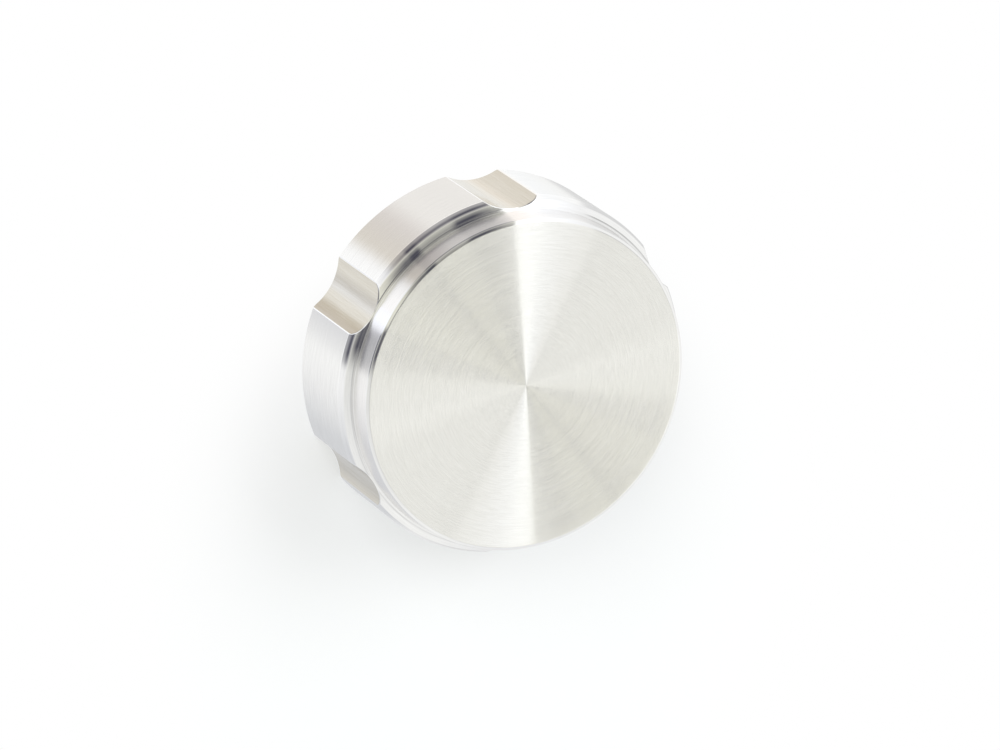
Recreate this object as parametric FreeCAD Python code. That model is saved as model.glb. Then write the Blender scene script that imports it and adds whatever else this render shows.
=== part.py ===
"""Expansion tank cap: a screw cap turned and milled from one aluminium billet, with an O-ring in its roof.

Millimetres, +Z along the thread axis. The cap stands on its open rim: z = 0 is the plane of the rim,
x = y = 0 is the thread axis, and the flat face is on top. One finger scallop lies on the +Y side.
"""
import FreeCAD
import Part
import math
import os

# Thread of the filler neck that the cap screws onto, 2 1/4 - 12 UN
thread_major_diameter = 57.15
thread_pitch = 25.4 / 12
thread_length = 13.0
minor_drop_per_pitch = 0.5413     # an internal 60 degree thread is this much of a pitch deep, on radius
lead_in_clearance = 0.3           # mouth of the lead-in chamfer outside the thread, on radius
relief_width = 3.0                # tool relief between the thread and the roof
relief_depth = 0.425              # relief outside the thread, on radius

# O-ring and its groove in the roof
ring_section = 3.53
ring_proud = 0.88                 # ring below the roof, to be squeezed by the end of the neck
ring_clearance = 0.05             # ring to the floor and to the outer wall of its groove
groove_spare_width = 0.77         # room for the squeezed ring to spread inwards
groove_land = 1.83                # roof left between the groove and the minor diameter of the thread
groove_edge_break = 0.2           # chamfer along both edges of the groove

# Body round the thread
roof_thickness = 8.3
scallop_wall = 4.2                # thinnest wall, from the relief to the floor of a scallop
rim_break = 0.4                   # chamfer round the outside of the rim

# Raised face disc, shoulder and grip
disc_height = 5.1
face_edge_radius = 1.0
shoulder_ledge = 0.2              # flat between the disc and the shoulder round
shoulder_radius = 1.95

# Finger scallops, cut along the grip by the side of an end mill
scallop_count = 6
scallop_cutter_radius = 11.0
scallop_disc_gap = 0.35           # shoulder left between the disc and the floor of a scallop
scallop_edge_break = 0.12         # chamfer round the edges of a scallop
first_scallop_angle = 90.0
cutter_overrun = 2.0

# Sizes that follow from the thread outwards
thread_radius = thread_major_diameter / 2
bore_radius = thread_radius - minor_drop_per_pitch * thread_pitch
mouth_radius = thread_radius + lead_in_clearance
relief_radius = thread_radius + relief_depth
scallop_floor_radius = relief_radius + scallop_wall
disc_radius = scallop_floor_radius - scallop_disc_gap
grip_radius = disc_radius + shoulder_ledge + shoulder_radius

# Levels that follow from the rim upwards
thread_top = thread_length
roof_level = thread_top + relief_width
height = roof_level + roof_thickness
shoulder_level = height - disc_height

# Groove and ring that follow from the bore and the roof
groove_level = roof_level + ring_section + ring_clearance - ring_proud
groove_outer_radius = bore_radius - groove_land
ring_outer_radius = groove_outer_radius - ring_clearance
ring_mean_radius = ring_outer_radius - ring_section / 2
ring_level = groove_level - ring_clearance - ring_section / 2
groove_inner_radius = ring_outer_radius - ring_section - groove_spare_width


def corner_arc(before, corner, after, radius):
    """Tangent arc that rounds one corner of an outline: its start, its middle and its end."""
    towards_before = (before - corner).normalize()
    towards_after = (after - corner).normalize()
    half_angle = towards_before.getAngle(towards_after) / 2
    reach = radius / math.tan(half_angle)
    bisector = (towards_before + towards_after).normalize()
    middle = corner + bisector * (radius / math.sin(half_angle) - radius)
    return corner + towards_before * reach, middle, corner + towards_after * reach


def section_face(corners):
    """Face in the XZ plane from (radius, level, corner radius) triples; a corner radius of 0 stays sharp."""
    points = [FreeCAD.Vector(radius, 0, level) for radius, level, _ in corners]
    edges = []
    starts = []
    ends = []
    for index, (_, _, corner_radius) in enumerate(corners):
        corner = points[index]
        if corner_radius == 0:
            starts.append(corner)
            ends.append(corner)
            continue
        following = points[(index + 1) % len(points)]
        start, middle, end = corner_arc(points[index - 1], corner, following, corner_radius)
        edges.append(Part.Arc(start, middle, end).toShape())
        starts.append(start)
        ends.append(end)
    for index, end in enumerate(ends):
        edges.append(Part.LineSegment(end, starts[(index + 1) % len(starts)]).toShape())
    return Part.Face(Part.Wire(Part.__sortEdges__(edges)))


def turned_blank():
    """The cap as it leaves the lathe, a revolved half section without the scallops."""
    relief_runout = relief_radius - bore_radius
    lead_in = mouth_radius - bore_radius
    section = section_face([
        (0, roof_level, 0),
        (groove_inner_radius - groove_edge_break, roof_level, 0),
        (groove_inner_radius, roof_level + groove_edge_break, 0),
        (groove_inner_radius, groove_level, 0),
        (groove_outer_radius, groove_level, 0),
        (groove_outer_radius, roof_level + groove_edge_break, 0),
        (groove_outer_radius + groove_edge_break, roof_level, 0),
        (relief_radius, roof_level, 0),
        (relief_radius, thread_top, 0),
        (bore_radius, thread_top - relief_runout, 0),
        (bore_radius, lead_in, 0),
        (mouth_radius, 0, 0),
        (grip_radius - rim_break, 0, 0),
        (grip_radius, rim_break, 0),
        (grip_radius, shoulder_level, shoulder_radius),
        (disc_radius, shoulder_level, 0),
        (disc_radius, height, face_edge_radius),
        (0, height, 0),
    ])
    return section.revolve(FreeCAD.Vector(0, 0, 0), FreeCAD.Vector(0, 0, 1), 360)


def scallop_cutter(angle):
    """Path of the end mill for one scallop, parallel to the thread axis and past both ends of the cap."""
    foot = FreeCAD.Vector(scallop_floor_radius + scallop_cutter_radius, 0, -cutter_overrun)
    cutter = Part.makeCylinder(scallop_cutter_radius, height + 2 * cutter_overrun, foot)
    cutter.rotate(FreeCAD.Vector(0, 0, 0), FreeCAD.Vector(0, 0, 1), angle)
    return cutter


def is_scallop(face):
    """Whether a face of the body was cut by the end mill: a cylinder with its axis outside the grip."""
    if not isinstance(face.Surface, Part.Cylinder):
        return False
    return math.hypot(face.Surface.Center.x, face.Surface.Center.y) > grip_radius


def cap_body():
    """The blank with its scallops milled and their edges broken."""
    angles = [first_scallop_angle + 360 / scallop_count * index for index in range(scallop_count)]
    milled = turned_blank().cut([scallop_cutter(angle) for angle in angles]).Solids[0]
    scallop_edges = [edge for face in milled.Faces if is_scallop(face) for edge in face.Edges]
    return milled.makeChamfer(scallop_edge_break, scallop_edges)


def seal_ring():
    """The O-ring, seated against the floor and the outer wall of its groove."""
    return Part.makeTorus(ring_mean_radius, ring_section / 2, FreeCAD.Vector(0, 0, ring_level))


os.makedirs("parts", exist_ok=True)
cap_body().exportStep("parts/cap_body.step")
seal_ring().exportStep("parts/seal_ring.step")
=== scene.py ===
"""Looks of the expansion tank cap: a turned and milled aluminium screw cap with a rubber O-ring."""
import math

import bmesh
import bpy
import numpy as np
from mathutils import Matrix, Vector


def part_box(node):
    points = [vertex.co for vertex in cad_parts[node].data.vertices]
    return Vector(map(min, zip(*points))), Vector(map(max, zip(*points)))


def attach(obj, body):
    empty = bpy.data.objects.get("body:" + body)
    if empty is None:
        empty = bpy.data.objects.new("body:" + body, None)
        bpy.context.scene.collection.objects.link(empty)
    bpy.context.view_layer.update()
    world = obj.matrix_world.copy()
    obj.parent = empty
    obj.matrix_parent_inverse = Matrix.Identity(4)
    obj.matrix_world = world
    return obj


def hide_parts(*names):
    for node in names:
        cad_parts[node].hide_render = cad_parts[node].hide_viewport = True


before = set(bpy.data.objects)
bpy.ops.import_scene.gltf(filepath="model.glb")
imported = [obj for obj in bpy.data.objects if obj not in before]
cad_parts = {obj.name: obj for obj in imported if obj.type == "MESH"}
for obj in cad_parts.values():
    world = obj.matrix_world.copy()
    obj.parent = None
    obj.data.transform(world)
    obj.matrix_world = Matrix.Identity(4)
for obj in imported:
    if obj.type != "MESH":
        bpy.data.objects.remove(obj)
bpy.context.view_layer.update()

# Cap body
# One billet of bare aluminium, turned all over on a lathe, then milled with six finger scallops.
# It screws down over a filler neck, so it is hollow below, with a thread cut inside its skirt.
MM = 0.001
_, body_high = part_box("cap_body")
height = body_high.z
grip_radius = body_high.x
disc_height = 5.1 * MM
disc_radius = 32.85 * MM
disc_lean = 0.35 * MM
face_edge_width = 0.85 * MM
face_edge_drop = 0.6 * MM
disc_root_radius = 0.12 * MM
shoulder_radius = 1.95 * MM
shoulder_drop = 2.35 * MM
scallop_count = 6
scallop_floor_radius = 33.2 * MM
scallop_cutter_radius = 11.0 * MM
edge_break = 0.12 * MM
rim_break = 0.4 * MM
threads_per_inch = 12
thread_pitch = 25.4 / threads_per_inch * MM
thread_depth = 0.5413 * thread_pitch
thread_major_radius = 28.575 * MM
thread_minor_radius = thread_major_radius - thread_depth
thread_top = 13.0 * MM
mouth_clearance = 0.3 * MM
mouth_radius = thread_major_radius + mouth_clearance
relief_depth = 0.425 * MM
relief_radius = thread_major_radius + relief_depth
roof_level = 16.0 * MM
groove_level = 18.7 * MM
groove_outer_radius = 25.6 * MM
groove_inner_radius = 21.25 * MM
groove_edge_break = 0.2 * MM
shoulder_level = height - disc_height
disc_top_radius = disc_radius - disc_lean
face_radius = disc_top_radius - face_edge_width

# Columns of vertices round the axis, close together in the scallops and at their edges
scallop_columns = 29
grip_columns = 46
cutter_distance = scallop_floor_radius + scallop_cutter_radius
scallop_half_angle = math.acos((grip_radius**2 + cutter_distance**2 - scallop_cutter_radius**2)
                               / (2 * grip_radius * cutter_distance))
break_angle = edge_break / grip_radius
sector_angle = math.tau / scallop_count


def columns_between(start, end, count):
    """Angles from edge to edge, with a column close to each edge so that only the edge is rounded."""
    inner = np.linspace(start + break_angle / 2, end - break_angle / 2, count - 2)
    return np.concatenate([[start], inner, [end]])


scallop_edge = scallop_half_angle - break_angle
grip_edge = scallop_half_angle + break_angle
sector = np.concatenate([columns_between(-scallop_edge, scallop_edge, scallop_columns),
                         columns_between(grip_edge, sector_angle - grip_edge, grip_columns)])
offsets = np.concatenate([np.tile(sector, scallop_count), sector[:1]])
turns = np.concatenate([np.repeat(np.arange(scallop_count), len(sector)), [scallop_count]])
angles = math.pi / 2 + turns * sector_angle + offsets
in_scallop = np.abs(offsets) < scallop_half_angle
scallop_wall = cutter_distance * np.cos(offsets) - np.sqrt(
    np.maximum(scallop_cutter_radius**2 - (cutter_distance * np.sin(offsets))**2, 0))
walls = np.where(in_scallop, scallop_wall, grip_radius)

# Rings of vertices from the middle of the face, down the outside and up the inside, each with the
# finish of the band that leads to it. A ring stands close to each round, to keep the flat beside it flat
FACE, ROUND, SIDE, GRIP, SCALLOP, INSIDE = range(6)
face_edge_rings = 13
faced_turn = 0.3
disc_root_rings = 5
shoulder_rings = 15
round_margin = 0.05 * MM
rings = []


def ring(radius, level, finish):
    """Add a ring of vertices. Its radius and level are one number, or one for each column."""
    rings.append((np.broadcast_to(radius, angles.shape), np.broadcast_to(level, angles.shape), finish))


for share in (0, 0.08, 0.2, 0.35, 0.5, 0.65, 0.8, 0.92, 0.98):
    ring(share * face_radius, height, FACE)
ring(face_radius - round_margin, height, FACE)
for turn in np.linspace(0, math.pi / 2, face_edge_rings):
    edge_finish = FACE if turn < faced_turn else ROUND
    ring(face_radius + face_edge_width * math.sin(turn),
         height - face_edge_drop + face_edge_drop * math.cos(turn), edge_finish)
side_top = height - face_edge_drop - round_margin
side_foot = shoulder_level + disc_root_radius + round_margin
for share in (0, 0.02, 0.5, 0.98, 1):
    ring(disc_top_radius + share * disc_lean, side_top + share * (side_foot - side_top), SIDE)
for turn in np.linspace(0, math.pi / 2, disc_root_rings):
    ring(disc_radius + disc_root_radius * (1 - math.cos(turn)),
         shoulder_level + disc_root_radius * (1 - math.sin(turn)), ROUND)
shoulder_start = np.arccos(np.clip(1 - (grip_radius - walls) / shoulder_radius, 0, 1))
shoulder_end = np.minimum(shoulder_start + edge_break / shoulder_radius, math.pi / 2)
for share in np.linspace(0, 1, shoulder_rings):
    turn = math.pi / 2 - share * (math.pi / 2 - shoulder_end)
    ring(grip_radius - shoulder_radius + shoulder_radius * np.cos(turn),
         shoulder_level - shoulder_drop + shoulder_drop * np.sin(turn), ROUND)
wall_top = shoulder_level - shoulder_drop + shoulder_drop * np.sin(shoulder_start) - edge_break
foot = np.minimum(grip_radius - rim_break, walls - edge_break)
wall_foot = walls - foot
ring(walls, wall_top, ROUND)
for share in (0.01, 0.2, 0.4, 0.6, 0.8, 0.99, 1):
    ring(walls, wall_top + share * (wall_foot - wall_top), GRIP)
ring(foot, 0, ROUND)
ring(mouth_radius, 0, INSIDE)

# The thread is a right-hand helix: four rings a pitch, along the edges of its crest and root flats,
# cut off by the lead-in chamfer below and the tool relief above
crest_share = 0.25
flank_share = 0.3125
root_share = 0.125
root_phase = crest_share + flank_share
relief_foot = thread_top - (relief_radius - thread_minor_radius)
crest_and_root = ((0, thread_minor_radius), (crest_share, thread_minor_radius),
                  (root_phase, thread_major_radius), (root_phase + root_share, thread_major_radius))
pitches = math.ceil(thread_top / thread_pitch) + 1
for index in range(pitches):
    for phase, radius in crest_and_root:
        helix = thread_pitch * (index - 1 + phase + (angles - angles[0]) / math.tau)
        level = np.clip(helix, 0, thread_top)
        lead_in = mouth_radius - level
        runout = thread_minor_radius + level - relief_foot
        ring(np.maximum(radius, np.maximum(lead_in, runout)), level, INSIDE)

for radius, level in ((relief_radius, thread_top), (relief_radius, roof_level),
                      (groove_outer_radius + groove_edge_break, roof_level),
                      (groove_outer_radius, roof_level + groove_edge_break),
                      (groove_outer_radius, groove_level), (groove_inner_radius, groove_level),
                      (groove_inner_radius, roof_level + groove_edge_break)):
    ring(radius, level, INSIDE)
for share in (1, 0.75, 0.5, 0.25, 0):
    ring(share * (groove_inner_radius - groove_edge_break), roof_level, INSIDE)

# Four corners to each face of the mesh, each face with its finish, and the seam and the two middles welded
radii = np.array([radius for radius, _, _ in rings])
levels = np.array([level for _, level, _ in rings])
vertices = np.stack([radii * np.cos(angles), radii * np.sin(angles), levels], axis=-1).reshape(-1, 3)
corner = np.arange(len(vertices)).reshape(radii.shape)
quads = np.stack([corner[:-1, :-1], corner[1:, :-1], corner[1:, 1:], corner[:-1, 1:]], axis=-1)
band_finish = np.repeat(np.array([finish for _, _, finish in rings[1:]]), len(angles) - 1)
milled = np.tile(in_scallop[:-1] & in_scallop[1:], len(rings) - 1)
broken_edge = np.tile(in_scallop[:-1] != in_scallop[1:], len(rings) - 1)
wall_finish = np.where(milled, SCALLOP, np.where(broken_edge, ROUND, GRIP))
finishes = np.where(band_finish == GRIP, wall_finish, band_finish)

weld_distance = 0.0005 * MM
sharp_edge_angle = math.radians(32)
cap_mesh = bpy.data.meshes.new("cap_body_turned")
cap_mesh.from_pydata(vertices.tolist(), [], quads.reshape(-1, 4).tolist())
cap_mesh.polygons.foreach_set("material_index", finishes.astype(np.int32))
welded = bmesh.new()
welded.from_mesh(cap_mesh)
bmesh.ops.remove_doubles(welded, verts=welded.verts, dist=weld_distance)
bmesh.ops.dissolve_degenerate(welded, edges=welded.edges, dist=weld_distance)
welded.to_mesh(cap_mesh)
welded.free()
cap_mesh.shade_smooth()
cap_mesh.set_sharp_from_angle(angle=sharp_edge_angle)
cap_body = bpy.data.objects.new("cap_body_turned", cap_mesh)
bpy.context.scene.collection.objects.link(cap_body)


def place(tree, kind, inputs=(), **settings):
    """Add a node to a tree, with its settings, and with its inputs linked or set."""
    node = tree.nodes.new(kind)
    for name, value in settings.items():
        setattr(node, name, value)
    for socket, value in dict(inputs).items():
        if isinstance(value, bpy.types.NodeSocket):
            tree.links.new(value, node.inputs[socket])
        else:
            node.inputs[socket].default_value = value
    return node


def calculate(tree, operation, *values):
    """Work out a number from other numbers."""
    return place(tree, "ShaderNodeMath", enumerate(values), operation=operation).outputs[0]


def mix_colours(tree, share, first, second):
    """Mix two colours, by the share of the second."""
    mixed = place(tree, "ShaderNodeMix", {"Factor": share, "A": first, "B": second}, data_type="RGBA")
    return mixed.outputs["Result"]


# Lathe lines: grooves that the tool leaves round the axis, at every distance along the profile.
# They tilt the metal along the profile only, and short streaks along them are lighter or darker
lathe_lines = bpy.data.node_groups.new("lathe_lines", "ShaderNodeTree")
for name in ("Lines per metre", "Streaks per turn", "Groove slope"):
    lathe_lines.interface.new_socket(name, in_out="INPUT", socket_type="NodeSocketFloat")
lathe_lines.interface.new_socket("Streaks", in_out="OUTPUT", socket_type="NodeSocketFloat")
lathe_lines.interface.new_socket("Normal", in_out="OUTPUT", socket_type="NodeSocketVector")
given = lathe_lines.nodes.new("NodeGroupInput")
result = lathe_lines.nodes.new("NodeGroupOutput")
where = place(lathe_lines, "ShaderNodeTexCoord")
xyz = place(lathe_lines, "ShaderNodeSeparateXYZ", {0: where.outputs["Object"]})
flat = place(lathe_lines, "ShaderNodeCombineXYZ", {"X": xyz.outputs["X"], "Y": xyz.outputs["Y"]})
axis_distance = place(lathe_lines, "ShaderNodeVectorMath", {0: flat.outputs[0]}, operation="LENGTH")
profile = calculate(lathe_lines, "SUBTRACT", axis_distance.outputs["Value"], xyz.outputs["Z"])
line_count = calculate(lathe_lines, "MULTIPLY", profile, given.outputs["Lines per metre"])
groove_noise = place(lathe_lines, "ShaderNodeTexNoise",
                     {"W": line_count, "Scale": 25.0, "Detail": 1.0, "Roughness": 0.75},
                     noise_dimensions="1D")
outward = place(lathe_lines, "ShaderNodeVectorMath", {0: flat.outputs[0]}, operation="NORMALIZE")
around = place(lathe_lines, "ShaderNodeVectorMath",
               {0: outward.outputs[0], "Scale": given.outputs["Streaks per turn"]}, operation="SCALE")
across = place(lathe_lines, "ShaderNodeCombineXYZ", {"Z": line_count})
streak_place = place(lathe_lines, "ShaderNodeVectorMath",
                     {0: around.outputs[0], 1: across.outputs[0]}, operation="ADD")
streak_noise = place(lathe_lines, "ShaderNodeTexNoise",
                     {"Vector": streak_place.outputs[0], "Scale": 1.0, "Detail": 2.0, "Roughness": 0.6})
streaks = place(lathe_lines, "ShaderNodeMapRange",
                {"Value": streak_noise.outputs[0], "From Min": 0.3, "From Max": 0.7})
along_groove = place(lathe_lines, "ShaderNodeVectorMath", {0: (0, 0, 1), 1: outward.outputs[0]},
                     operation="CROSS_PRODUCT")
along_profile = place(lathe_lines, "ShaderNodeVectorMath",
                      {0: where.outputs["Normal"], 1: along_groove.outputs[0]}, operation="CROSS_PRODUCT")
centred = calculate(lathe_lines, "SUBTRACT", groove_noise.outputs[0], 0.5)
lean = calculate(lathe_lines, "MULTIPLY", centred, given.outputs["Groove slope"])
leaning = place(lathe_lines, "ShaderNodeVectorMath", {0: along_profile.outputs[0], "Scale": lean},
                operation="SCALE")
tilted = place(lathe_lines, "ShaderNodeVectorMath", {0: where.outputs["Normal"], 1: leaning.outputs[0]},
               operation="ADD")
turned_normal = place(lathe_lines, "ShaderNodeVectorTransform", {0: tilted.outputs[0]},
                      vector_type="NORMAL", convert_from="OBJECT", convert_to="WORLD")
lathe_lines.links.new(streaks.outputs["Result"], result.inputs["Streaks"])
lathe_lines.links.new(turned_normal.outputs[0], result.inputs["Normal"])


def bare_metal(name, anisotropy):
    """A metal whose highlights stretch by the direction round the axis, with its nodes and its shader."""
    material = bpy.data.materials.new(name)
    material.use_nodes = True
    tree = material.node_tree
    shader = tree.nodes["Principled BSDF"]
    shader.inputs["Metallic"].default_value = 1.0
    shader.inputs["Anisotropic"].default_value = anisotropy
    tangent = place(tree, "ShaderNodeTangent", direction_type="RADIAL", axis="Z")
    tree.links.new(tangent.outputs["Tangent"], shader.inputs["Tangent"])
    return material, tree, shader


def streak_metal(tree, shader, streaks, dark, light, smooth, rough):
    """Let streaks vary the colour of a metal from dark to light, and its roughness from smooth to rough."""
    colour = mix_colours(tree, streaks, (*dark, 1), (*light, 1))
    roughness = place(tree, "ShaderNodeMapRange", {"Value": streaks, "To Min": smooth, "To Max": rough})
    tree.links.new(colour, shader.inputs["Base Color"])
    tree.links.new(roughness.outputs["Result"], shader.inputs["Roughness"])


def turned_metal(name, dark, light, smooth, rough, anisotropy, lines_per_metre, groove_slope, streak_depth):
    """Bare aluminium with lathe lines: it varies along them, and light spreads across them."""
    material, tree, shader = bare_metal(name, anisotropy)
    shader.inputs["Anisotropic Rotation"].default_value = 0.25
    lines = place(tree, "ShaderNodeGroup", node_tree=lathe_lines)
    lines.inputs["Lines per metre"].default_value = lines_per_metre
    lines.inputs["Streaks per turn"].default_value = 8.0
    lines.inputs["Groove slope"].default_value = groove_slope
    streak_metal(tree, shader, lines.outputs["Streaks"], dark, light, smooth, rough)
    bump = place(tree, "ShaderNodeBump",
                 {"Height": lines.outputs["Streaks"], "Distance": streak_depth, "Strength": 1.0,
                  "Normal": lines.outputs["Normal"]})
    tree.links.new(bump.outputs["Normal"], shader.inputs["Normal"])
    return material


def milled_metal(name, dark, light, smooth, rough, anisotropy, streaks_per_radian, streaks_per_metre):
    """Aluminium cut by the side of an end mill: streaks along the axis that differ in tint and polish."""
    material, tree, shader = bare_metal(name, anisotropy)
    spot = place(tree, "ShaderNodeTexCoord")
    xyz = place(tree, "ShaderNodeSeparateXYZ", {0: spot.outputs["Object"]})
    bearing = calculate(tree, "ARCTAN2", xyz.outputs["Y"], xyz.outputs["X"])
    across = calculate(tree, "MULTIPLY", bearing, streaks_per_radian)
    along = calculate(tree, "MULTIPLY", xyz.outputs["Z"], streaks_per_metre)
    streak_place = place(tree, "ShaderNodeCombineXYZ", {"X": across, "Y": along})
    streak_noise = place(tree, "ShaderNodeTexNoise",
                         {"Vector": streak_place.outputs[0], "Scale": 1.0, "Detail": 4.0, "Roughness": 0.65},
                         noise_dimensions="2D")
    streaks = place(tree, "ShaderNodeMapRange",
                    {"Value": streak_noise.outputs[0], "From Min": 0.3, "From Max": 0.7})
    streak_metal(tree, shader, streaks.outputs["Result"], dark, light, smooth, rough)
    return material


# The six finishes, in the order of the rings' names for them
for material in (
    turned_metal("faced_aluminium", dark=(0.875, 0.87, 0.83), light=(0.925, 0.92, 0.885),
                 smooth=0.09, rough=0.13, anisotropy=1.0,
                 lines_per_metre=4200, groove_slope=1.7, streak_depth=0.0005 * MM),
    turned_metal("bright_turned_aluminium", dark=(0.88, 0.88, 0.88), light=(0.93, 0.93, 0.93),
                 smooth=0.05, rough=0.08, anisotropy=0.8,
                 lines_per_metre=2600, groove_slope=0.02, streak_depth=0.0001 * MM),
    turned_metal("disc_side_aluminium", dark=(0.88, 0.87, 0.865), light=(0.93, 0.92, 0.915),
                 smooth=0.14, rough=0.18, anisotropy=0.95,
                 lines_per_metre=2600, groove_slope=0.03, streak_depth=0.0003 * MM),
    turned_metal("grip_aluminium", dark=(0.84, 0.84, 0.835), light=(0.93, 0.93, 0.925),
                 smooth=0.16, rough=0.22, anisotropy=0.7,
                 lines_per_metre=2600, groove_slope=0.05, streak_depth=0.001 * MM),
    # The scallops' base colour is darker and warmer than the turned metal: painted shade and a painted
    # brownish reflection in the hollows, on top of the real streaks of the mill.
    milled_metal("milled_aluminium_painted_shade", dark=(0.64, 0.605, 0.53), light=(0.72, 0.695, 0.635),
                 smooth=0.14, rough=0.2, anisotropy=0.4,
                 streaks_per_radian=90.0, streaks_per_metre=80.0),
    turned_metal("bore_aluminium", dark=(0.8, 0.8, 0.8), light=(0.88, 0.88, 0.88),
                 smooth=0.25, rough=0.35, anisotropy=0.6,
                 lines_per_metre=2600, groove_slope=0.05, streak_depth=0.001 * MM),
):
    cap_mesh.materials.append(material)
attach(cap_body, "root")
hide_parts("cap_body")

# Seal ring
# A black rubber O-ring, moulded in two halves, pressed into the groove in the roof of the cap.
# It shows only from below, as a satin ring that stands a little proud of the roof.
rubber_dark = (0.012, 0.012, 0.013, 1)
rubber_light = (0.03, 0.03, 0.032, 1)
rubber_grain_depth = 0.02 * MM
seal_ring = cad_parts["seal_ring"]
rubber = bpy.data.materials.new("seal_rubber")
rubber.use_nodes = True
rubber_tree = rubber.node_tree
rubber_shader = rubber_tree.nodes["Principled BSDF"]
rubber_shader.inputs["Roughness"].default_value = 0.45
grain = place(rubber_tree, "ShaderNodeTexNoise", {"Scale": 2500.0, "Detail": 4.0})
rubber_tone = mix_colours(rubber_tree, grain.outputs[0], rubber_dark, rubber_light)
rubber_bump = place(rubber_tree, "ShaderNodeBump",
                    {"Height": grain.outputs[0], "Distance": rubber_grain_depth})
rubber_tree.links.new(rubber_tone, rubber_shader.inputs["Base Color"])
rubber_tree.links.new(rubber_bump.outputs["Normal"], rubber_shader.inputs["Normal"])
seal_ring.data.materials.clear()
seal_ring.data.materials.append(rubber)

# Floor
# A wide flat sheet of pale paper that the cap lies on, face up. It keeps the soft shadow on the near
# side of the cap, fades to white around it, and does not show from below.
floor_reach = 4.0
paper_colour = (0.88, 0.905, 0.915, 1)
shadow_middle = (0.0, -0.045, 0.0)
shadow_reach = 0.035
white_reach = 0.075
white_in_shadow = 0.35
bpy.ops.mesh.primitive_plane_add(size=2 * floor_reach, location=(0, 0, 0))
floor = bpy.context.object
floor.name = "floor"
floor_paper = bpy.data.materials.new("floor_paper")
floor_paper.use_nodes = True
paper = floor_paper.node_tree
paper.nodes.remove(paper.nodes["Principled BSDF"])
paper_out = paper.nodes["Material Output"]
seen = place(paper, "ShaderNodeLightPath")
camera_or_glossy = calculate(paper, "MAXIMUM", seen.outputs["Is Camera Ray"], seen.outputs["Is Glossy Ray"])
shown = calculate(paper, "MAXIMUM", camera_or_glossy, seen.outputs["Is Transmission Ray"])
spot = place(paper, "ShaderNodeTexCoord")
from_shadow = place(paper, "ShaderNodeVectorMath", {0: spot.outputs["Object"], 1: shadow_middle},
                    operation="DISTANCE")
fade = place(paper, "ShaderNodeMapRange",
             {"Value": from_shadow.outputs["Value"], "From Min": shadow_reach, "From Max": white_reach,
              "To Min": white_in_shadow, "To Max": 1.0}, interpolation_type="SMOOTHSTEP")
white_share = calculate(paper, "MULTIPLY", shown, fade.outputs["Result"])
lit = place(paper, "ShaderNodeBsdfDiffuse", {"Color": paper_colour})
white = place(paper, "ShaderNodeEmission", {"Color": (1, 1, 1, 1), "Strength": 1.0})
sheet = place(paper, "ShaderNodeMixShader", {0: white_share, 1: lit.outputs[0], 2: white.outputs[0]})
side = place(paper, "ShaderNodeNewGeometry")
nothing = place(paper, "ShaderNodeBsdfTransparent")
one_sided = place(paper, "ShaderNodeMixShader",
                  {0: side.outputs["Backfacing"], 1: sheet.outputs[0], 2: nothing.outputs[0]})
paper.links.new(one_sided.outputs[0], paper_out.inputs["Surface"])
floor.data.materials.append(floor_paper)
floor.visible_glossy = False

# Camera
# A long lens looks down on the face of the cap from its upper left.
# It is level, so that the Y axis of the cap points straight up the picture.
picture_width = 1000
focal_pixels = 7000
turn_left = math.radians(24.86)
tip_up = math.radians(19.37)
aim = Vector((-5.34 * MM, 2.88 * MM, height))
camera_distance = 1.2988
lens = bpy.data.cameras.new("camera")
lens.sensor_width = 36.0
lens.lens = focal_pixels / picture_width * lens.sensor_width
camera = bpy.data.objects.new("camera", lens)
camera.rotation_mode = "ZXY"
camera.rotation_euler = (-tip_up, -turn_left, 0)
towards_lens = camera.rotation_euler.to_matrix() @ Vector((0, 0, 1))
camera.location = aim + towards_lens * camera_distance
bpy.context.scene.collection.objects.link(camera)
bpy.context.scene.camera = camera
bpy.context.scene.view_settings.view_transform = "Standard"

# Light
# A white light tent stands round the cap. Its lit side panel draws the fan across the turned face,
# and the dark seams beside the lens opening draw the streaks along the rounds.
seam_dark = (0.015, 0.015, 0.045)
tent = bpy.data.worlds.new("light_tent")
bpy.context.scene.world = tent
tent.use_nodes = True
sky = tent.node_tree

# A turned round mirrors the tent along one line for each bearing on the cap, so panels and seams are
# placed by the slope of metal that shows them: its bearing, in degrees round the axis, and its tilt
lies = place(sky, "ShaderNodeTexCoord")
slope = place(sky, "ShaderNodeVectorMath", {0: lies.outputs["Generated"], 1: towards_lens}, operation="ADD")
unit_slope = place(sky, "ShaderNodeVectorMath", {0: slope.outputs[0]}, operation="NORMALIZE")
slope_xyz = place(sky, "ShaderNodeSeparateXYZ", {0: unit_slope.outputs[0]})
bearing = calculate(sky, "ARCTAN2", slope_xyz.outputs["Y"], slope_xyz.outputs["X"])
turn_share = place(sky, "ShaderNodeMapRange", {"Value": bearing, "From Min": -math.pi, "From Max": math.pi})


def ramp(value, stops):
    """A colour ramp from (position, colour) stops, the first at 0 and the last at 1."""
    node = place(sky, "ShaderNodeValToRGB", {0: value})
    elements = node.color_ramp.elements
    elements[0].color = (*stops[0][1], 1)
    elements[-1].color = (*stops[-1][1], 1)
    for position, colour in stops[1:-1]:
        elements.new(position).color = (*colour, 1)
    return node.outputs["Color"]


def by_bearing(stops):
    """A ramp round the axis, from (degrees, colour) stops between -180 and 180."""
    shares = [(degrees / 360 + 0.5, colour) for degrees, colour in stops]
    return ramp(turn_share.outputs["Result"], shares)


def by_tilt(stops):
    """A ramp from upright metal to flat metal, from (degrees, colour) stops between 0 and 90."""
    sines = [(math.sin(math.radians(degrees)), colour) for degrees, colour in stops]
    return ramp(slope_xyz.outputs["Z"], sines)


def grey(stops):
    """Stops with one level each, as colours."""
    return [(degrees, (level, level, level)) for degrees, level in stops]


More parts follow.
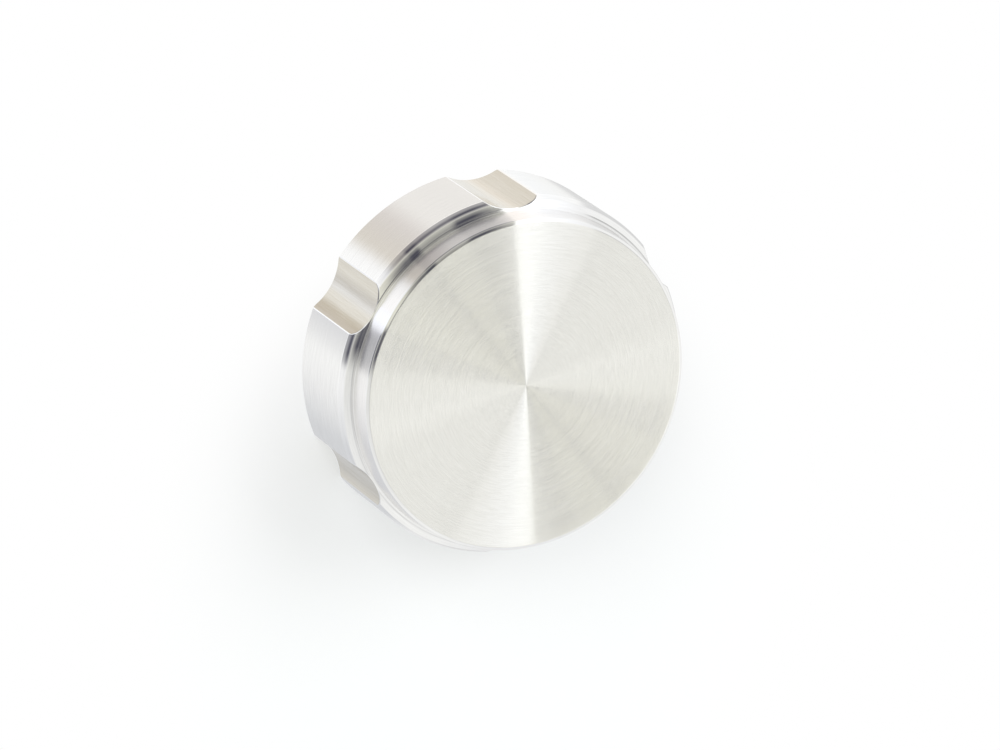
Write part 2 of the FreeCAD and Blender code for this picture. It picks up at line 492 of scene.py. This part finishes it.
def strip(bearings, tilts):
    """How much of a strip of the tent each slope of metal shows: by its bearing, times by its tilt."""
    return calculate(sky, "MULTIPLY", by_bearing(grey(bearings)), by_tilt(grey(tilts)))


# The walls of the tent above the table, and the table, which the steeper metal shows
panels = by_bearing([
    (-180, (0.86, 0.86, 0.84)), (-165, (0.98, 0.98, 0.96)), (-120, (0.97, 0.97, 0.95)),
    (-105, (0.9, 0.9, 0.9)), (-80, (0.9, 0.9, 0.9)), (-60, (0.88, 0.88, 0.85)),
    (20, (0.99, 0.99, 0.97)), (60, (0.98, 0.98, 0.97)), (66, (0.97, 0.97, 0.97)),
    (80, (1.2, 1.22, 1.25)), (86, (1.4, 1.42, 1.45)), (92.5, (1.44, 1.46, 1.48)),
    (93.3, (1.04, 1.03, 0.92)), (112, (1.04, 1.03, 0.91)), (120, (0.98, 0.97, 0.84)),
    (136, (1.0, 0.98, 0.85)), (142, (0.88, 0.87, 0.76)), (152, (0.87, 0.86, 0.76)),
    (155, (1.18, 1.17, 1.06)), (164, (1.12, 1.11, 1.03)), (170, (0.93, 0.93, 0.89)),
    (180, (0.86, 0.86, 0.84))])
table = by_bearing([
    (-180, (0.95, 0.95, 0.95)), (-165, (0.72, 0.73, 0.75)), (-137, (0.7, 0.71, 0.73)),
    (-125, (0.88, 0.88, 0.88)), (-110, (0.75, 0.75, 0.75)), (20, (0.78, 0.78, 0.78)),
    (45, (0.74, 0.74, 0.74)), (60, (0.76, 0.76, 0.76)), (63.5, (0.8, 0.8, 0.8)),
    (67, (1.03, 1.03, 1.02)), (78, (1.06, 1.07, 1.08)), (85, (1.16, 1.15, 1.14)),
    (91, (1.12, 1.07, 1.02)), (97, (1.05, 1.02, 0.98)), (116, (1.05, 1.02, 0.98)),
    (122, (0.87, 0.82, 0.78)), (133, (0.82, 0.77, 0.69)), (137, (1.12, 1.12, 1.12)),
    (146, (1.13, 1.13, 1.13)), (148, (1.15, 1.18, 1.26)), (151, (1.15, 1.18, 1.26)),
    (157, (0.84, 0.84, 0.86)), (168, (1.07, 1.07, 1.06)), (180, (0.95, 0.95, 0.95))])
above_table = by_tilt(grey([(0, 0), (34, 0), (41, 1), (90, 1)]))
lit_tent = mix_colours(sky, above_table, table, panels)

# Dark seams of the tent, low ones for the steep metal and high ones for the flatter metal
low_seams = strip(
    [(-180, 0.03), (-172, 0), (93, 0), (94, 0.5), (98, 0.85), (103, 1), (110.5, 1), (111.5, 0.9),
     (124.7, 0.9), (125, 1), (128.2, 1), (128.6, 0.76), (131, 0.7), (134, 0.55), (138, 0.25), (142, 0.1),
     (153, 0.05), (154.5, 0.95), (165, 1), (167.5, 0.7), (169.5, 0.15), (175, 0.03), (180, 0.03)],
    [(0, 0), (2, 0.05), (4.5, 0.6), (14, 0.64), (18, 0.7), (23, 0.85), (27, 0.92), (30, 0.92), (33, 0.82),
     (36, 0.65), (40, 0.5), (46, 0), (90, 0)])
high_seams = strip(
    [(-180, 0.06), (-165, 0.12), (-150, 0.1), (-135, 0), (93, 0), (94, 0.5), (97, 0.68), (102, 0.95),
     (104, 1), (110.5, 1), (111.5, 0.7), (124.7, 0.68), (125, 1), (128.2, 1), (128.6, 0.9), (131, 0.92),
     (136, 0.7), (140, 0.3), (144, 0.08), (151, 0.1), (153, 0.95), (162, 1), (165, 0.75), (167.5, 0.45),
     (170, 0.2), (176, 0.08), (180, 0.06)],
    [(0, 0), (37, 0), (41, 0.45), (46, 0.7), (55, 0.82), (62, 0.92), (71, 0.95), (77, 0.7), (82, 0.2),
     (85, 0), (90, 0)])
seams = calculate(sky, "MAXIMUM", low_seams, high_seams)
seamed_tent = mix_colours(sky, seams, lit_tent, (*seam_dark, 1))

# Bars of the tent's frame, lit on the right and dark elsewhere, for the nearly flat metal
bars = strip(
    [(-180, 0.25), (-150, 0.22), (-110, 0.12), (-75, 0.1), (-50, 0.8), (5, 0.8), (25, 0.35), (60, 0.5),
     (64.5, 0), (93, 0), (94, 0.6), (100, 0.7), (124.7, 0.72), (125, 1), (128.2, 1), (128.6, 0.75),
     (136, 0.8), (144, 0.85), (150, 0.82), (154, 0.75), (160, 0.75), (165, 0.55), (170, 0.35),
     (176, 0.27), (180, 0.25)],
    [(0, 0), (73, 0), (76, 1), (82, 1), (86, 0), (90, 0)])
bar_colour = by_bearing([
    (-180, seam_dark), (-100, seam_dark), (-80, (1.2, 1.2, 1.2)), (8, (1.2, 1.2, 1.2)),
    (22, (0.3, 0.3, 0.3)), (60, (0.03, 0.03, 0.03)), (93, seam_dark), (180, seam_dark)])
tent_wall = mix_colours(sky, bars, seamed_tent, bar_colour)

# The metal mirrors the tent, and beyond the floor the lens sees plain white
tent_light = sky.nodes["Background"]
sky.links.new(tent_wall, tent_light.inputs["Color"])
path = place(sky, "ShaderNodeLightPath")
clear = place(sky, "ShaderNodeBackground", {"Color": (1, 1, 1, 1), "Strength": 1.0})
backdrop = place(sky, "ShaderNodeMixShader",
                 {0: path.outputs["Is Camera Ray"], 1: tent_light.outputs[0], 2: clear.outputs[0]})
sky.links.new(backdrop.outputs[0], sky.nodes["World Output"].inputs["Surface"])

# Two soft boxes, a metre from the cap, light the floor and the rubber, and do not show in the metal
soft_box_width = 0.6
for name, watts, direction in (("right_lamp", 3.5, (0.9, 0.45, 0.85)),
                               ("left_lamp", 4.0, (-0.7, 0.7, 0.9))):
    soft_box = bpy.data.lights.new(name, "AREA")
    soft_box.size = soft_box_width
    soft_box.energy = watts
    lamp = bpy.data.objects.new(name, soft_box)
    lamp.location = Vector(direction).normalized()
    lamp.rotation_euler = lamp.location.to_track_quat("Z", "Y").to_euler()
    lamp.visible_glossy = False
    bpy.context.scene.collection.objects.link(lamp)
